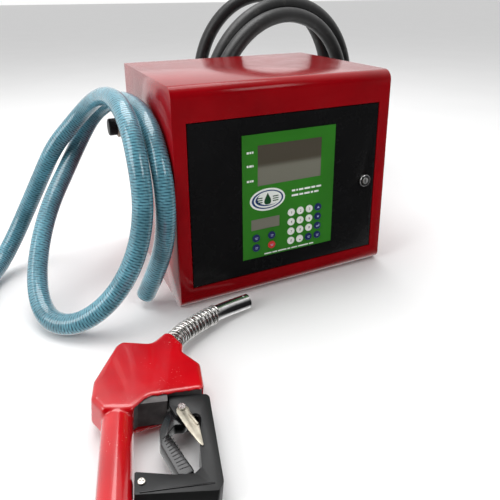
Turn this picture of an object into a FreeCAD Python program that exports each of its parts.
import FreeCAD, Part
import os
from math import cos, degrees, pi, radians, sin, tan

# Wall-standing fuel transfer pump: a sheet steel cabinet with a keypad door, a vane pump and a
# flow meter inside, a clear suction hose, a rubber delivery hose and a dispensing nozzle.
# Millimetres. +Z is up, the door faces -Y, and the origin is the centre of the cabinet's base.

V = FreeCAD.Vector

# ---- Cabinet ----
cabinet_width = 400.0
cabinet_depth = 310.0
cabinet_height = 370.0
sheet = 2.0
bend_radius = 18.0            # outside of the front top and front bottom bends
border_side = 21.5            # front frame beside the door
border_top = 55.0
border_bottom = 35.0
rear_flange = 14.0
rear_panel_sheet = 1.5
rear_panel_inset = 5.0
panel_screw_radius = 2.0
base_hole_radius = 4.5
base_hole_inset_x = 40.0
base_hole_inset_y = 35.0

# ---- Door ----
door_gap = 1.5
door_sheet = 1.5
door_recess = 0.5             # door face behind the frame's face
door_flange = 14.0
hinge_pin_radius = 2.5
hinge_pin_length = 13.0
hinge_inset = 6.0             # pin axis from the door's hinge edge
hinge_setback = 5.0           # pin axis behind the door's face
hinge_block = 9.0
bracket_sheet = 2.5
running = 0.05                # radial clearance of a shaft in its hole
gasket_width = 8.0
gasket_thick = 4.0

# ---- Cam lock ----
lock_from_edge = 23.0         # lock axis from the door's free edge
lock_below_centre = 2.0
lock_radius = 11.0
lock_thread_radius = 8.0
lock_head = 7.0
lock_body = 5.8
lock_plug_radius = 6.0
cam_reach = 34.0
cam_width = 14.0
cam_sheet = 2.0

# ---- Control panel ----
overlay_width = 176.0
overlay_height = 220.0
overlay_thick = 1.0
main_window = (-60.5, 61.0, 21.0, 91.0)        # left, right, bottom, top from the panel's centre
preset_window = (-72.5, -18.8, -58.0, -38.0)
key_radius = 6.0
key_clear = 0.08
key_proud = 1.8
key_collar = 1.2
key_travel = 0.6
key_columns = (3.6, 21.6, 39.6, 57.6)
key_rows = (-37.2, -55.2, -73.2, -91.2)
side_key_columns = (-63.6, -34.2)
side_key_rows = (-72.6, -90.8)
key_names = (("1", "2", "3", "up"), ("4", "5", "6", "down"),
             ("7", "8", "9", "enter"), ("0", "point", "clear", "total"))
side_key_names = (("litre", "price"), ("preset", "stop"))
board_gap = 0.3
board_thick = 1.6
display_depth = 9.0

# ---- Suction side ----
inlet_height = 252.0
inlet_from_back = 25.0
inlet_bore_radius = 12.5
inlet_thread_radius = 16.6
inlet_hex_flats = 38.0
inlet_collar = 9.0
inlet_hex = 21.0
plug_length = 15.5
plug_radius = 17.0
pipe_radius = 15.0
pipe_bore = 12.5

# ---- Pump, motor and meter ----
pump_radius = 50.0
pump_length = 44.0
pump_axis_height = 85.0
pump_from_left = 50.0
pump_from_back = 59.0
pump_cover_thick = 8.0
rotor_radius = 31.0
chamber_radius = 36.0
chamber_offset = 4.5
shaft_radius = 7.0
motor_radius = 55.0
motor_length = 150.0
plate_thick = 3.0
meter_width = 90.0
meter_depth = 80.0
meter_height = 70.0
meter_from_left = 130.0
meter_wheel_radius = 29.0
meter_shaft_radius = 3.0
outlet_drop = 55.0
outlet_radius = 17.0
outlet_reach = 35.0           # elbow axis behind the back of the cabinet
gland_radius = 11.0

# ---- Hoses ----
suction_hose_radius = 16.0
delivery_hose_radius = 18.0
ferrule_wall = 3.0
ferrule_length = 42.0
hose_fit = 0.2

# ---- Nozzle, in its own frame: u to the spout side, v along the grip, w out of its side ----
nozzle_place = V(-351.7, -397.6, 29.8)
nozzle_turn = -13.0
nozzle_tilt = 5.0
nozzle_thick = 40.0
cover_wall = 3.0
cover_gap = 0.3
cover_fillet = 6.0
grip_radius = 18.0
grip_wall = 2.5
grip_bottom = -140.0
cover_bottom = -98.0
inlet_nozzle_radius = 21.0
inlet_nozzle_length = 24.0
nozzle_thread_radius = 13.2
spout_radius = 12.0
spout_wall = 1.2
spout_wrap_radius = 14.6
guard_thick = 24.0
guard_slot = 15.0
lever_thick = 14.0
lever_pin_radius = 3.0
lever_pivot = (73.0, 22.0)
latch_sheet = 1.2
stem_radius = 4.0
stem_place = 60.0

half_width = cabinet_width / 2
front = -cabinet_depth / 2
back = cabinet_depth / 2


# ---- Small makers ----
def block(x0, x1, y0, y1, z0, z1):
    return Part.makeBox(x1 - x0, y1 - y0, z1 - z0, V(x0, y0, z0))


def rod(radius, start, end):
    run = V(*end) - V(*start)
    return Part.makeCylinder(radius, run.Length, V(*start), run)


def ring(outer, inner, start, end):
    return rod(outer, start, end).cut(rod(inner, start, end))


def hexagon(flats, start, end):
    """A hexagonal bar along X."""
    corner = flats / 2 / cos(pi / 6)
    points = [V(start[0], start[1] + corner * cos(radians(60 * n)), start[2] + corner * sin(radians(60 * n)))
              for n in range(7)]
    return Part.Face(Part.makePolygon(points)).extrude(V(end[0] - start[0], 0, 0))


def fuse_all(solids):
    result = solids[0]
    for other in solids[1:]:
        result = result.fuse(other)
    return result.removeSplitter()


def group(solids):
    return Part.makeCompound(solids)


def round_edges(solid, radius, wanted):
    edges = [edge for edge in solid.Edges if wanted(edge.BoundBox)]
    return solid.makeFillet(radius, edges)


def rounded_wire(points):
    """Straight runs joined by arcs tangent to both, each as large as its runs allow."""
    points = [V(*point) for point in points]
    edges, start, radii = [], points[0], []
    for before, corner, after in zip(points, points[1:], points[2:]):
        back_run, next_run = before - corner, after - corner
        reach = 0.45 * min(back_run.Length, next_run.Length)
        turn = pi - back_run.getAngle(next_run)
        radii.append(reach / tan(turn / 2))
        near = corner + back_run.normalize() * reach
        far = corner + next_run.normalize() * reach
        inward = (back_run + next_run).normalize()
        middle = corner + inward * (radii[-1] / cos(turn / 2) - radii[-1])
        edges += [Part.LineSegment(start, near).toShape(), Part.Arc(near, middle, far).toShape()]
        start = far
    edges.append(Part.LineSegment(start, points[-1]).toShape())
    return Part.Wire(edges), radii


def swept(points, radius):
    wire, radii = rounded_wire(points)
    first = V(*points[1]) - V(*points[0])
    section = Part.Wire(Part.makeCircle(radius, V(*points[0]), first))
    solid = wire.makePipeShell([section], True, False)
    if solid.Volume < 0:
        solid.reverse()
    return solid, wire.Length, radii


def pipe(points, outer, inner):
    return swept(points, outer)[0].cut(swept(points, inner)[0])


def outline(points, corner_radii):
    """A closed flat outline in the XY plane, each corner rounded by its own radius."""
    edges, count = [], len(points)
    spans = []
    for index in range(count):
        corner = V(*points[index], 0)
        before = (V(*points[index - 1], 0) - corner).normalize()
        after = (V(*points[(index + 1) % count], 0) - corner).normalize()
        angle = before.getAngle(after)
        reach = corner_radii[index] / tan(angle / 2)
        middle = corner + (before + after).normalize() * (corner_radii[index] / sin(angle / 2) - corner_radii[index])
        spans.append((corner + before * reach, middle, corner + after * reach))
    for index in range(count):
        near, middle, far = spans[index]
        edges.append(Part.Arc(near, middle, far).toShape())
        edges.append(Part.LineSegment(far, spans[(index + 1) % count][0]).toShape())
    return Part.Face(Part.Wire(edges))


def slab(points, corner_radii, low, high):
    face = outline(points, corner_radii)
    face.translate(V(0, 0, low))
    return face.extrude(V(0, 0, high - low))


# ---- Cabinet ----
inner_left = -half_width + sheet
inner_right = half_width - sheet
frame_back = front + sheet
opening = (-half_width + border_side, half_width - border_side, border_bottom, cabinet_height - border_top)
door_centre_z = (opening[2] + opening[3]) / 2
inlet_y = back - inlet_from_back
base_holes = [(sx * (half_width - base_hole_inset_x), sy * (back - base_hole_inset_y))
              for sx in (-1, 1) for sy in (-1, 1)]
outlet_x = -half_width + meter_from_left
outlet_z = 240.0
outlet_y = back + outlet_reach
gland_x, gland_z = half_width - 60.0, 60.0
rear_screws = [(sx * (half_width - rear_flange / 2 - sheet), z)
               for sx in (-1, 1) for z in (rear_flange, 0.3 * cabinet_height, 0.58 * cabinet_height,
                                           cabinet_height - rear_flange)]


def bent_box(inset):
    """The cabinet's outside, or with an inset its inside, with the two front bends."""
    body = block(-half_width + inset, half_width - inset, front + inset, back, inset, cabinet_height - inset)
    at_front = front + inset + 0.01
    return round_edges(body, bend_radius - inset,
                       lambda box: box.YMax < at_front and box.ZLength < 1 and box.XLength > 1)


def cabinet_shell():
    hollow = bent_box(sheet)
    flange = block(-half_width, half_width, back - sheet, back, 0, cabinet_height)
    window = block(-half_width + rear_flange, half_width - rear_flange, back - 2 * sheet, back + 1,
                   rear_flange, cabinet_height - rear_flange)
    shell = bent_box(0).cut(hollow.cut(flange)).cut(window)
    shell = shell.cut(block(opening[0], opening[1], front - 1, frame_back + 0.01, opening[2], opening[3]))
    for x, y in base_holes:
        shell = shell.cut(rod(base_hole_radius, (x, y, -1), (x, y, sheet + 1)))
    for x, z in rear_screws:
        shell = shell.cut(rod(panel_screw_radius + hose_fit, (x, back - sheet - 1, z), (x, back + 1, z)))
    return shell.cut(rod(inlet_thread_radius + hose_fit, (-half_width - 1, inlet_y, inlet_height),
                         (inner_left + 1, inlet_y, inlet_height)))


def rear_panel():
    panel = block(-half_width + rear_panel_inset, half_width - rear_panel_inset, back, back + rear_panel_sheet,
                  rear_panel_inset, cabinet_height - rear_panel_inset)
    for x, z in rear_screws:
        panel = panel.cut(rod(panel_screw_radius + hose_fit, (x, back - 1, z), (x, back + 3, z)))
    panel = panel.cut(rod(outlet_radius + hose_fit, (outlet_x, back - 1, outlet_z), (outlet_x, back + 3, outlet_z)))
    panel = panel.cut(rod(gland_radius - 3 + hose_fit, (gland_x, back - 1, gland_z), (gland_x, back + 3, gland_z)))
    for row in range(5):
        z = 120 + 12 * row
        panel = panel.cut(block(60, 130, back - 1, back + 3, z, z + 4))
    return panel


def panel_screws():
    outside = back + rear_panel_sheet
    return group([rod(panel_screw_radius, (x, back - sheet - 4, z), (x, outside, z)).fuse(
        rod(2 * panel_screw_radius, (x, outside, z), (x, outside + 2.2, z))) for x, z in rear_screws])


# ---- Door ----
door_left, door_right = opening[0] + door_gap, opening[1] - door_gap
door_bottom, door_top = opening[2] + door_gap, opening[3] - door_gap
door_face = front + door_recess
door_back = door_face + door_sheet
hinge_x = door_left + hinge_inset
hinge_y = door_face + hinge_setback
lock_x = door_right - lock_from_edge
lock_z = door_centre_z - lock_below_centre
panel_z = door_centre_z
overlay_face = door_face - overlay_thick


def key_places():
    """Each key's name with its place on the panel."""
    places = {}
    for names, row in zip(key_names, key_rows):
        for name, column in zip(names, key_columns):
            places["key_" + name] = (column, panel_z + row)
    for names, row in zip(side_key_names, side_key_rows):
        for name, column in zip(names, side_key_columns):
            places["key_" + name] = (column, panel_z + row)
    return places


def window_box(window, y0, y1, grow=0.0):
    left, right, low, high = window
    return block(left - grow, right + grow, y0, y1, panel_z + low - grow, panel_z + high + grow)


def door_panel():
    flange_end = door_back + door_flange
    outside = block(door_left, door_right, door_face, flange_end, door_bottom, door_top)
    inside = block(door_left + door_sheet, door_right - door_sheet, door_back, flange_end + 1,
                   door_bottom + door_sheet, door_top - door_sheet)
    door = outside.cut(inside)
    for low, high in ((door_bottom, door_bottom + hinge_block), (door_top - hinge_block, door_top)):
        door = door.fuse(block(door_left, door_left + 2 * hinge_inset, door_face, hinge_y + hinge_inset, low, high))
    for start, end in hinge_pin_ends():
        door = door.cut(rod(hinge_pin_radius, (hinge_x, hinge_y, start), (hinge_x, hinge_y, end)))
    door = door.cut(block(door_right - door_sheet - 1, door_right + 1, door_back + 0.01, flange_end + 1,
                          lock_z - cam_reach - 2, lock_z + cam_width))
    door = door.cut(rod(lock_thread_radius + 0.1, (lock_x, door_face - 1, lock_z), (lock_x, door_back + 1, lock_z)))
    for x, z in key_places().values():
        door = door.cut(rod(key_radius + key_clear, (x, door_face - 1, z), (x, door_back + 1, z)))
    for window in (main_window, preset_window):
        door = door.cut(window_box(window, door_face - 1, door_back + 1))
    return door.removeSplitter()


def hinge_pin_ends():
    """Low and high end of each hinge pin: the pin is fast in the door and turns in the bracket."""
    top = opening[3] + bracket_sheet + 1.0
    bottom = opening[2] - bracket_sheet - 1.0
    return ((bottom, bottom + hinge_pin_length), (top - hinge_pin_length, top))


def hinge_pins():
    return group([rod(hinge_pin_radius, (hinge_x, hinge_y, start), (hinge_x, hinge_y, end))
                  for start, end in hinge_pin_ends()])


def hinge_brackets():
    pieces = []
    for edge, side in ((opening[3], 1), (opening[2], -1)):
        near, far = sorted((edge + side * 0.2, edge + side * (0.2 + bracket_sheet)))
        leg_low, leg_high = sorted((edge + side * 0.2, edge + side * 16))
        tab = block(hinge_x - 7, hinge_x + 20, frame_back, hinge_y + 7, near, far)
        leg = block(hinge_x - 7, hinge_x + 20, frame_back, frame_back + bracket_sheet, leg_low, leg_high)
        hole = rod(hinge_pin_radius + running, (hinge_x, hinge_y, near - 1), (hinge_x, hinge_y, far + 1))
        pieces.append(tab.fuse(leg).cut(hole).removeSplitter())
    return group(pieces)


def door_gasket():
    """A foam frame stuck to the back of the door's skin, just inside its flanges."""
    edge = door_sheet + hinge_block + 1
    outside = block(door_left + edge + 3, door_right - door_sheet - 1, door_back, door_back + gasket_thick,
                    door_bottom + edge, door_top - edge)
    inside = block(door_left + edge + 3 + gasket_width, door_right - door_sheet - 1 - gasket_width,
                   door_back - 1, door_back + gasket_thick + 1,
                   door_bottom + edge + gasket_width, door_top - edge - gasket_width)
    clearance = rod(lock_thread_radius + 6.5, (lock_x, door_back - 1, lock_z), (lock_x, door_back + 9, lock_z))
    return outside.cut(inside).cut(clearance)


# ---- Cam lock ----
def lock_barrel():
    barrel = rod(lock_radius, (lock_x, door_face - lock_head, lock_z), (lock_x, door_face, lock_z))
    barrel = round_edges(barrel, 1.2, lambda box: box.YMax < door_face - lock_head + 0.01)
    barrel = barrel.fuse(rod(lock_thread_radius, (lock_x, door_face, lock_z), (lock_x, door_face + lock_body, lock_z)))
    bore = rod(lock_plug_radius + running, (lock_x, door_face - lock_head - 1, lock_z),
               (lock_x, door_face + lock_body + 1, lock_z))
    return barrel.cut(bore).removeSplitter()


def lock_nut():
    start = (door_back, lock_z, 0)
    nut = hexagon(22.0, (0, 0, 0), (4.0, 0, 0))
    nut.rotate(V(0, 0, 0), V(0, 0, 1), 90)
    nut.translate(V(lock_x, start[0], lock_z))
    return nut.cut(rod(lock_thread_radius + 0.1, (lock_x, door_back - 1, lock_z), (lock_x, door_back + 5, lock_z)))


def lock_plug():
    plug = rod(lock_plug_radius, (lock_x, door_face - lock_head + 0.4, lock_z),
               (lock_x, door_face + lock_body + 4, lock_z))
    slot = block(lock_x - 0.8, lock_x + 0.8, door_face - lock_head - 1, door_face - lock_head + 6,
                 lock_z - 4, lock_z + 4)
    return plug.cut(slot)


def lock_cam():
    """The cam points down at rest, clear of the frame, and turns a quarter turn to catch it."""
    start = door_face + lock_body + 0.3
    radius = cam_width / 2
    arm = block(lock_x - radius, lock_x + radius, start, start + cam_sheet, lock_z - cam_reach + radius, lock_z)
    tip = rod(radius, (lock_x, start, lock_z - cam_reach + radius),
              (lock_x, start + cam_sheet, lock_z - cam_reach + radius))
    eye = rod(radius + 1, (lock_x, start, lock_z), (lock_x, start + cam_sheet, lock_z))
    bore = rod(lock_plug_radius, (lock_x, start - 1, lock_z), (lock_x, start + 3, lock_z))
    return fuse_all([arm, tip, eye]).cut(bore)


# ---- Control panel ----
def control_overlay():
    centre = (0.0, panel_z)
    overlay = block(centre[0] - overlay_width / 2, centre[0] + overlay_width / 2, overlay_face, door_face,
                    centre[1] - overlay_height / 2, centre[1] + overlay_height / 2)
    for window in (main_window, preset_window):
        overlay = overlay.cut(window_box(window, overlay_face - 1, door_face + 1))
    for x, z in key_places().values():
        overlay = overlay.cut(rod(key_radius + key_clear, (x, overlay_face - 1, z), (x, door_face + 1, z)))
    return overlay


def display(window):
    """A liquid crystal module whose glass stands in the door's window."""
    glass = window_box(window, overlay_face + 0.6, door_back, -0.3)
    return glass.fuse(window_box(window, door_back, door_back + display_depth, 3.0)).removeSplitter()


def key(x, z):
    face = overlay_face - key_proud
    cap = rod(key_radius, (x, face, z), (x, door_back + 0.1, z))
    cap = round_edges(cap, 1.0, lambda box: box.YMax < face + 0.01)
    collar = rod(key_radius + 1.0, (x, door_back + 0.1, z), (x, door_back + 0.1 + key_collar, z))
    stem = rod(2.0, (x, door_back, z), (x, board_front() - key_travel - board_gap, z))
    return fuse_all([cap, collar, stem])


def board_front():
    return door_back + display_depth + board_gap


def control_board():
    start = board_front()
    board = block(-overlay_width / 2 + 6, overlay_width / 2 - 6, start, start + board_thick,
                  panel_z - overlay_height / 2 + 6, panel_z + overlay_height / 2 - 6)
    chips = [block(x, x + 24, start + board_thick, start + board_thick + 4, z, z + 16)
             for x, z in ((-60, panel_z + 30), (-10, panel_z + 40), (30, panel_z - 40))]
    chips.append(block(-70, -20, start + board_thick, start + board_thick + 12, panel_z - 90, panel_z - 76))
    x = overlay_width / 2 - 10
    z = overlay_height / 2 - 10
    posts = [rod(3.0, (sx * x, door_back, panel_z + sz * z), (sx * x, start + 0.5, panel_z + sz * z))
             for sx in (-1, 1) for sz in (-1, 1)]
    return fuse_all([board] + chips + posts)


# ---- Suction side ----
wall_left = -half_width


def inlet_fitting():
    """Threaded through the left wall: a collar and a hexagon outside, a nut inside."""
    axis = (inlet_y, inlet_height)
    collar = Part.makeCone(21.0, 17.5, inlet_collar, V(wall_left, *axis), V(-1, 0, 0))
    hexagonal = hexagon(inlet_hex_flats, (wall_left - inlet_collar, *axis),
                        (wall_left - inlet_collar - inlet_hex, *axis))
    thread = rod(inlet_thread_radius, (wall_left, *axis), (inner_left + 14, *axis))
    nut = hexagon(inlet_hex_flats, (inner_left, *axis), (inner_left + 8, *axis))
    bore = rod(inlet_bore_radius, (wall_left - inlet_collar - inlet_hex - 1, *axis), (inner_left + 20, *axis))
    return fuse_all([collar, hexagonal, thread, nut]).cut(bore)


def inlet_plug():
    start = wall_left - inlet_collar - inlet_hex
    axis = (inlet_y, inlet_height)
    cap = rod(plug_radius, (start, *axis), (start - plug_length, *axis))
    cap = round_edges(cap, 2.0, lambda box: box.XMax < start - plug_length + 0.01)
    for step in range(18):
        angle = radians(20 * step)
        y, z = inlet_y + plug_radius * cos(angle), inlet_height + plug_radius * sin(angle)
        cap = cap.cut(rod(1.0, (start - 3, y, z), (start - plug_length - 1, y, z)))
    return cap.fuse(rod(inlet_bore_radius - 0.3, (start, *axis), (start + 10, *axis))).removeSplitter()


pump_x = wall_left + pump_from_left            # middle of the pump
pump_y = back - pump_from_back
pump_z = pump_axis_height
pump_left = pump_x - pump_length / 2
pump_right = pump_x + pump_length / 2
inlet_port_z = pump_z + pump_radius + 6
motor_start = pump_right + 6.0


def inlet_pipe():
    return pipe([(inner_left + 14, inlet_y, inlet_height), (pump_x, inlet_y, inlet_height),
                 (pump_x, pump_y, inlet_port_z + 50), (pump_x, pump_y, inlet_port_z)], pipe_radius, pipe_bore)


def pump_body():
    body = rod(pump_radius, (pump_left, pump_y, pump_z), (pump_right, pump_y, pump_z))
    ports = rod(19.0, (pump_x, pump_y, pump_z), (pump_x, pump_y, inlet_port_z)).fuse(
        rod(19.0, (pump_x, pump_y, pump_z), (pump_x, pump_y - pump_radius - 6, pump_z)))
    foot = block(pump_left, pump_right, pump_y - 38, pump_y + 38, sheet + plate_thick, pump_z - 30)
    body = fuse_all([body, ports, foot])
    chamber = rod(chamber_radius, (pump_left - 1, pump_y, pump_z + chamber_offset),
                  (pump_right - 5, pump_y, pump_z + chamber_offset))
    passages = rod(pipe_bore, (pump_x - 3, pump_y, pump_z), (pump_x - 3, pump_y, inlet_port_z + 1)).fuse(
        rod(pipe_bore, (pump_x - 3, pump_y, pump_z), (pump_x - 3, pump_y - pump_radius - 7, pump_z)))
    bearing = rod(shaft_radius + running, (pump_left, pump_y, pump_z), (pump_right + 1, pump_y, pump_z))
    return body.cut(chamber).cut(passages).cut(bearing)


def pump_cover():
    cover = rod(pump_radius, (pump_left - pump_cover_thick, pump_y, pump_z), (pump_left, pump_y, pump_z))
    bearing = rod(shaft_radius + running, (pump_left - 5, pump_y, pump_z), (pump_left + 1, pump_y, pump_z))
    heads = [rod(4.0, (pump_left - pump_cover_thick - 3, pump_y + 43 * cos(radians(60 * n)),
                       pump_z + 43 * sin(radians(60 * n))),
                 (pump_left - pump_cover_thick, pump_y + 43 * cos(radians(60 * n)),
                  pump_z + 43 * sin(radians(60 * n)))) for n in range(6)]
    return fuse_all([cover.cut(bearing)] + heads)


def pump_rotor():
    """The slotted rotor with its four vanes, on the motor's shaft."""
    left, right = pump_left + 0.5, pump_right - 5.5
    rotor = rod(rotor_radius - 0.5, (left, pump_y, pump_z), (right, pump_y, pump_z))
    shaft = rod(shaft_radius, (pump_left - 4.5, pump_y, pump_z), (motor_start + 30, pump_y, pump_z))
    vanes = [block(left, right, pump_y - 1.5, pump_y + 1.5, pump_z, pump_z + rotor_radius)
             for _ in range(4)]
    for index, vane in enumerate(vanes):
        vane.rotate(V(0, pump_y, pump_z), V(1, 0, 0), 45 + 90 * index)
    return fuse_all([rotor, shaft] + vanes)


def pump_motor():
    end = motor_start + motor_length
    axis = (pump_y, pump_z)
    can = rod(motor_radius, (motor_start, *axis), (end, *axis))
    spigot = rod(24.0, (pump_right, *axis), (motor_start, *axis))
    fins = []
    for step in range(8):
        angle = radians(22.5 + 45 * step)
        y, z = pump_y + motor_radius * cos(angle), pump_z + motor_radius * sin(angle)
        if z > pump_z - motor_radius * 0.6 and y < back - 8:
            fins.append(rod(3.0, (motor_start + 10, y, z), (end - 10, y, z)))
    feet = block(motor_start + 15, end - 15, pump_y - 40, pump_y + 40, sheet + plate_thick, pump_z - 40)
    body = fuse_all([can, spigot, feet] + fins)
    return body.cut(rod(shaft_radius + running, (pump_right - 1, *axis), (motor_start + 31, *axis)))


def equipment_plate():
    plate = block(inner_left + 6, motor_start + motor_length + 10, pump_y - 60, back - sheet - 2, sheet, sheet + plate_thick)
    for x, y in base_holes:
        plate = plate.cut(rod(base_hole_radius + 6, (x, y, sheet - 1), (x, y, sheet + plate_thick + 1)))
    return plate


# ---- Delivery side ----
meter_x = outlet_x
meter_back = back - 45.0
meter_front = meter_back - meter_depth
meter_z = outlet_z


def transfer_pipe():
    start_y = pump_y - pump_radius - 6
    return pipe([(pump_x - 3, start_y, pump_z), (pump_x - 3, start_y - 70, pump_z), (pump_x + 30, start_y - 105, 160),
                 (meter_x, meter_front - 75, meter_z), (meter_x, meter_front, meter_z)], pipe_radius, pipe_bore)


def meter_body():
    half_w, half_h = meter_width / 2, meter_height / 2
    body = block(meter_x - half_w, meter_x + half_w, meter_front, meter_back, meter_z - half_h, meter_z + half_h)
    body = round_edges(body, 8.0, lambda box: box.YLength > meter_depth - 1)
    bore = rod(pipe_bore, (meter_x, meter_front - 1, meter_z), (meter_x, meter_back + 1, meter_z))
    middle = (meter_front + meter_back) / 2
    chamber = rod(meter_wheel_radius + 1, (meter_x, middle - 13, meter_z), (meter_x, middle + 13, meter_z))
    shaft = rod(meter_shaft_radius + running, (meter_x, middle - 22, meter_z), (meter_x, middle + 22, meter_z))
    spider = fuse_all([rod(6.0, (meter_x, y - 3, meter_z), (meter_x, y + 3, meter_z)).fuse(
        block(meter_x - pipe_bore - 1, meter_x + pipe_bore + 1, y - 2, y + 2, meter_z - 2, meter_z + 2))
        for y in (middle - 18, middle + 18)])
    hanger = block(meter_x - 30, meter_x + 30, meter_front + 10, meter_back - 10, meter_z + half_h,
                   cabinet_height - sheet)
    hanger = hanger.cut(block(meter_x - 27, meter_x + 27, meter_front, meter_back, meter_z + half_h + 3,
                              cabinet_height - sheet - 3))
    return fuse_all([body.cut(bore).cut(chamber), spider, hanger]).cut(shaft)


def meter_wheel():
    middle = (meter_front + meter_back) / 2
    hub = rod(9.0, (meter_x, middle - 11, meter_z), (meter_x, middle + 11, meter_z))
    shaft = rod(meter_shaft_radius, (meter_x, middle - 20.5, meter_z), (meter_x, middle + 20.5, meter_z))
    blades = []
    for step in range(8):
        blade = block(meter_x - 1, meter_x + 1, middle - 10, middle + 10, meter_z, meter_z + meter_wheel_radius)
        blade.rotate(V(meter_x, middle, meter_z), V(0, 1, 0), 45 * step)
        blades.append(blade)
    return fuse_all([hub, shaft] + blades)


def outlet_elbow():
    """From the meter, out through the rear panel and down to the delivery hose."""
    route = [(outlet_x, meter_back, outlet_z), (outlet_x, outlet_y, outlet_z),
             (outlet_x, outlet_y, outlet_z - outlet_drop)]
    elbow = swept(route, outlet_radius)[0].cut(swept(route, pipe_bore)[0])
    nut = Part.makeBox(44, 6, 44, V(outlet_x - 22, back + rear_panel_sheet, outlet_z - 22))
    nut = nut.cut(rod(outlet_radius - 1, (outlet_x, back, outlet_z), (outlet_x, back + 20, outlet_z)))
    return elbow.fuse(nut).removeSplitter()


def cable_gland():
    dome = Part.makeCone(gland_radius, gland_radius - 4, 10, V(gland_x, back + rear_panel_sheet + 6, gland_z), V(0, 1, 0))
    body = rod(gland_radius, (gland_x, back + rear_panel_sheet, gland_z), (gland_x, back + rear_panel_sheet + 6, gland_z))
    neck = rod(gland_radius - 3, (gland_x, back - 10, gland_z), (gland_x, back + rear_panel_sheet, gland_z))
    nut = rod(gland_radius, (gland_x, back - 6, gland_z), (gland_x, back, gland_z))
    bore = rod(4.0, (gland_x, back - 11, gland_z), (gland_x, back + 30, gland_z))
    return fuse_all([dome, body, neck, nut]).cut(bore)


# ---- Hoses ----
suction_route = [
    (-248, -110, 17), (-231, -130, 70), (-220, -148, 124), (-216.5, -158, 184), (-216.5, -146, 244),
    (-217, -108, 292), (-218, -48, 314), (-220, 16, 318), (-228, 78, 315), (-245, 122, 302),
    (-272, 145, 274), (-304, 134, 226), (-337, 95, 184), (-370, 50, 146), (-394, 8, 104),
    (-409, -34, 62), (-412, -80, 31), (-399, -122, 17), (-367, -152, 21), (-327, -168, 46),
    (-291, -172, 86), (-264, -168, 138), (-251, -160, 196), (-250, -144, 254), (-250, -104, 308),
    (-253, -44, 334), (-260, 20, 336), (-272, 72, 321), (-290, 104, 296), (-316, 114, 266),
    (-350, 114, 230), (-383, 122, 165), (-412, 130, 108), (-440, 120, 60), (-468, 92, 27),
    (-492, 50, 17), (-506, 0, 17), (-511, -52, 17), (-513, -104, 17)]

delivery_lead = [
    (outlet_x, outlet_y, outlet_z - outlet_drop), (outlet_x, outlet_y, 128), (outlet_x + 6, outlet_y - 4, 76),
    (-30, 180, 32), (30, 177, 18), (105, 182, 18.5)]
# Each turn of the coil: its right side, its top's height and its left side.
coil_turns = (((447, 340), 456, (-13, 175)), ((487, 378), 482, (-9, 221)), ((445, 412), 502, (76, 520)))
coil_start = (190, 196, 18)
coil_end = (215, 510, 18)
coil_floor = 11.5
coil_step = 30
delivery_tail = [(320, 512, 18), (420, 500, 19), (505, 470, 18)]


def quarter(start, end, steps, sideways_first):
    """A quarter of an ellipse from start to end, leaving start level or upright."""
    points = []
    for step in range(1, steps + 1):
        angle = radians(90 * step / steps)
        level, upright = (sin(angle), 1 - cos(angle)) if sideways_first else (1 - cos(angle), sin(angle))
        points.append((start[0] + (end[0] - start[0]) * level, start[1] + (end[1] - start[1]) * level,
                       start[2] + (end[2] - start[2]) * upright))
    return points


def coil_points():
    """The delivery hose's three loose turns, standing on edge behind the cabinet."""
    steps = 90 // coil_step
    bottom = coil_start
    points = [bottom]
    for index, (right, top_z, left) in enumerate(coil_turns):
        middle = (top_z + coil_floor) / 2
        top = ((right[0] + left[0]) / 2, (right[1] + left[1]) / 2, top_z)
        next_bottom = coil_end
        if index + 1 < len(coil_turns):
            following = coil_turns[index + 1][0]
            next_bottom = ((left[0] + following[0]) / 2, (left[1] + following[1]) / 2, coil_floor)
        points += quarter(bottom, (*right, middle), steps, True)
        points += quarter((*right, middle), top, steps, False)
        points += quarter(top, (*left, middle), steps, True)
        points += quarter((*left, middle), next_bottom, steps, False)
        bottom = next_bottom
    return points


delivery_route = delivery_lead + coil_points() + delivery_tail


def hose(route, radius, name):
    solid, length, radii = swept(route, radius)
    share = solid.Volume / (pi * radius * radius * length)
    print(f"{name}: length {length:.0f} mm, smallest radius {min(radii):.0f} mm, volume share {share:.4f}")
    return solid


def ferrule(point, direction, length):
    """A crimped sleeve round a hose's end, closed by a plain nipple that passes its end."""
    start = V(*point)
    along = V(*direction).normalize()
    sleeve = Part.makeCylinder(delivery_hose_radius + ferrule_wall, length, start, along)
    sleeve = sleeve.cut(Part.makeCylinder(delivery_hose_radius + hose_fit, length, start, along))
    return sleeve


def hose_ferrules():
    first = V(*delivery_route[0])
    last = V(*delivery_route[-1])
    inward = (V(*delivery_route[-2]) - last).normalize()
    start = ferrule(first, V(0, 0, -1), ferrule_length)
    collar = Part.makeCylinder(delivery_hose_radius + ferrule_wall, 8, first, V(0, 0, 1)).cut(
        Part.makeCylinder(outlet_radius + hose_fit, 8, first, V(0, 0, 1)))
    end = ferrule(last, inward, ferrule_length)
    cap = Part.makeCylinder(delivery_hose_radius + ferrule_wall, 5, last, inward * -1)
    nipple = Part.makeCylinder(nozzle_thread_radius, 24, last, inward * -1)
    bore = Part.makeCylinder(pipe_bore - 2, 30, last, inward * -1)
    return group([start.fuse(collar).removeSplitter(), fuse_all([end, cap, nipple]).cut(bore)])


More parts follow.
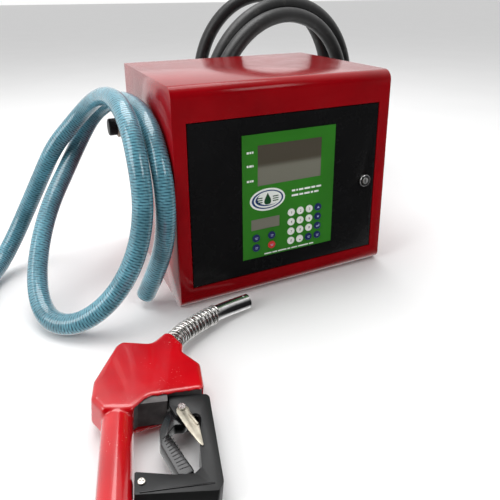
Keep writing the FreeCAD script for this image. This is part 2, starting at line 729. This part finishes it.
# ---- Nozzle, drawn flat in its own frame, then laid on its side ----
cover_points = [(-17, 24), (-31, 44), (-30, 73), (-6, 138), (2, 146), (41, 138), (60, 160), (70, 158),
                (84, 132), (82, 117), (103, 90), (103, 43), (56, 39), (36, 38), (17, 20)]
cover_radii = [6.5, 9, 14, 8, 8, 12, 7, 7, 8, 7, 8, 6.5, 20, 14, 6.5]
lip_points = [(18, 23), (47, 30), (58, 34), (58, 46), (18, 46)]
body_mouth = [(18.5, 30), (57, 31), (57, 44), (99, 44), (99, 60), (18.5, 60)]
guard_points = [(60, 44), (108, 42), (107, -79), (101, -88), (19, -81), (19, -55.5), (60, -64.5), (79, -65.5),
                (87, -59), (88, -34), (94, 4), (92, 16), (82, 11), (66, 11), (59, 30)]
guard_radii = [2, 7, 6, 4, 2, 2, 3, 4, 4, 20, 8, 6, 6, 6, 6]
lever_points = [(82, 30), (84, 16), (76, 3), (64, 4), (56, -6), (80, -58), (72, -62), (63, -60), (46.5, -20),
                (46, -1), (54, 20), (64, 32)]
lever_radii = [5, 6, 8, 5, 5, 2, 2, 2, 8, 10, 8, 6]
latch_points = [(80, 24), (82, 14), (90, -4), (92, -36), (87, -30), (76, -8), (67, 14), (66, 24)]
latch_radii = [5, 4, 4, 1, 6, 8, 5, 5]
spout_route = [(66, 117), (66, 146), (80, 174), (112, 203), (150, 230), (201, 255)]
spring_start, spring_end = ((71.5, 157), (0.447, 0.894)), ((143, 225), (0.815, 0.579))
half_thick = nozzle_thick / 2


def laid(shape):
    """Turn a piece drawn in the nozzle's frame to where the nozzle lies."""
    shape.rotate(V(0, 0, 0), V(0, 1, 0), nozzle_tilt)
    shape.rotate(V(0, 0, 0), V(0, 0, 1), nozzle_turn)
    shape.translate(nozzle_place)
    return shape


def flat_route(route, height=0.0):
    return [(u, v, height) for u, v in route]


def grip_rod(radius, low, high):
    return rod(radius, (0, low, 0), (0, high, 0))


def cover_space(gap):
    """The room inside the moulded cover, less a gap all round."""
    face = outline(cover_points, cover_radii).makeOffset2D(-cover_wall - gap)
    depth = half_thick - cover_wall - gap
    face.translate(V(0, 0, -depth))
    return face.extrude(V(0, 0, 2 * depth))


def spout_line(radius):
    return swept(flat_route(spout_route), radius)[0]


def nozzle_body():
    """The cast body with the grip tube and the threaded inlet socket at its end."""
    depth = half_thick - cover_wall - cover_gap
    casting = cover_space(cover_gap).fuse(slab(body_mouth, [1] * 6, -depth, depth))
    casting = casting.cut(block(58, 120, 0, 44, -half_thick, half_thick))
    grip = grip_rod(grip_radius - grip_wall - cover_gap, grip_bottom, 50)
    grip = grip.fuse(grip_rod(grip_radius - 0.5, grip_bottom, cover_bottom - 0.5))
    socket = grip_rod(inlet_nozzle_radius, grip_bottom - inlet_nozzle_length, grip_bottom)
    body = fuse_all([casting, grip, socket])
    body = body.cut(grip_rod(nozzle_thread_radius, grip_bottom - inlet_nozzle_length - 1, grip_bottom - 2))
    body = body.cut(grip_rod(10.0, grip_bottom - 3, 70)).cut(rod(10.0, (0, 70, 0), (66, 112, 0)))
    body = body.cut(rod(10.0, (66, 108, 0), (66, 118, 0))).cut(spout_line(spout_radius + 0.1))
    body = body.cut(rod(stem_radius + running, (stem_place, 26, 0), (stem_place, 66, 0)))
    return body.cut(rod(stem_radius + 4, (stem_place, 62, 0), (stem_place, 100, 0)))


def nozzle_cover():
    """The moulded cover over the body and the grip, open towards the lever."""
    depth = half_thick - cover_wall
    skin = slab(cover_points, cover_radii, -half_thick, half_thick)
    skin = round_edges(skin, cover_fillet, lambda box: box.ZLength < 0.01)
    grip = grip_rod(grip_radius, cover_bottom, 45)
    grip = round_edges(grip, 1.5, lambda box: box.YLength < 0.01 and box.YMin < 0)
    cover = skin.fuse(grip)
    cover = cover.fuse(slab(lip_points, [1] * 5, -half_thick, -depth))
    cover = cover.cut(cover_space(0)).cut(grip_rod(grip_radius - grip_wall, grip_bottom, 50))
    cover = cover.cut(block(18.4, 106, 18, 52, -depth, depth)).cut(spout_line(spout_radius + 0.4))
    return cover.removeSplitter()


def nozzle_spout():
    """The bent spout tube, with a sensing hole near its mouth."""
    tube = spout_line(spout_radius).cut(spout_line(spout_radius - spout_wall))
    return tube.cut(rod(2.0, (193, 251, 0), (193, 251, 30)))


def spout_spring():
    """The wire wound round the spout, as one sleeve of its outer shape."""
    sleeve = spout_line(spout_wrap_radius).cut(spout_line(spout_radius + 0.2))
    for (point, direction), reach in ((spring_start, -90), (spring_end, 90)):
        u, v = point
        sleeve = sleeve.cut(rod(60, (u, v, 0), (u + direction[0] * reach, v + direction[1] * reach, 0)))
    return sleeve


def lever_guard():
    """The guard, forked round the lever at its top."""
    guard = slab(guard_points, guard_radii, -guard_thick / 2, guard_thick / 2)
    guard = guard.cut(block(40, 92.5, 0, 50, -guard_slot / 2, guard_slot / 2))
    u, v = lever_pivot
    return guard.cut(rod(lever_pin_radius, (u, v, -guard_thick), (u, v, guard_thick)))


def nozzle_lever():
    lever = slab(lever_points, lever_radii, -lever_thick / 2, lever_thick / 2)
    u, v = lever_pivot
    return lever.cut(rod(lever_pin_radius + running, (u, v, -lever_thick), (u, v, lever_thick)))


def lever_pin():
    u, v = lever_pivot
    top = guard_thick / 2 + 0.4 + latch_sheet + 0.3
    return rod(lever_pin_radius, (u, v, -guard_thick / 2), (u, v, top)).fuse(
        rod(lever_pin_radius + 1.5, (u, v, top), (u, v, top + 2))).removeSplitter()


def latch_plate():
    """The hold-open latch, turning on the end of the lever's pin."""
    low = guard_thick / 2 + 0.4
    plate = slab(latch_points, latch_radii, low, low + latch_sheet)
    plate = plate.fuse(rod(1.6, (81, 10, low + 1.6), (89, -6, low + 1.6)))
    u, v = lever_pivot
    return plate.cut(rod(lever_pin_radius + running, (u, v, 0), (u, v, 2 * low))).removeSplitter()


def valve_stem():
    """The poppet's stem, pushed up by the lever."""
    stem = rod(stem_radius, (stem_place, 32, 0), (stem_place, 68, 0))
    return stem.fuse(rod(stem_radius + 3, (stem_place, 68, 0), (stem_place, 72, 0))).removeSplitter()


parts = {
    "cabinet_shell": cabinet_shell,
    "rear_panel": rear_panel,
    "panel_screws": panel_screws,
    "equipment_plate": equipment_plate,
    "hinge_brackets": hinge_brackets,
    "door_panel": door_panel,
    "hinge_pins": hinge_pins,
    "door_gasket": door_gasket,
    "lock_barrel": lock_barrel,
    "lock_nut": lock_nut,
    "lock_plug": lock_plug,
    "lock_cam": lock_cam,
    "control_overlay": control_overlay,
    "main_display": lambda: display(main_window),
    "preset_display": lambda: display(preset_window),
    "control_board": control_board,
    "inlet_fitting": inlet_fitting,
    "inlet_plug": inlet_plug,
    "inlet_pipe": inlet_pipe,
    "pump_body": pump_body,
    "pump_cover": pump_cover,
    "pump_rotor": pump_rotor,
    "pump_motor": pump_motor,
    "transfer_pipe": transfer_pipe,
    "meter_body": meter_body,
    "meter_wheel": meter_wheel,
    "outlet_elbow": outlet_elbow,
    "cable_gland": cable_gland,
    "nozzle_body": lambda: laid(nozzle_body()),
    "nozzle_cover": lambda: laid(nozzle_cover()),
    "nozzle_spout": lambda: laid(nozzle_spout()),
    "spout_spring": lambda: laid(spout_spring()),
    "nozzle_lever": lambda: laid(nozzle_lever()),
    "lever_guard": lambda: laid(lever_guard()),
    "lever_pin": lambda: laid(lever_pin()),
    "latch_plate": lambda: laid(latch_plate()),
    "valve_stem": lambda: laid(valve_stem()),
    "suction_hose": lambda: hose(suction_route, suction_hose_radius, "suction hose"),
    "delivery_hose": lambda: hose(delivery_route, delivery_hose_radius, "delivery hose"),
    "hose_ferrules": hose_ferrules,
}

os.makedirs("parts", exist_ok=True)
for name, make in parts.items():
    shape = make()
    shape.exportStep(f"parts/{name}.step")
    print(name, len(shape.Solids), "valid" if shape.isValid() else "NOT VALID")
for name, (x, z) in key_places().items():
    key(x, z).exportStep(f"parts/{name}.step")
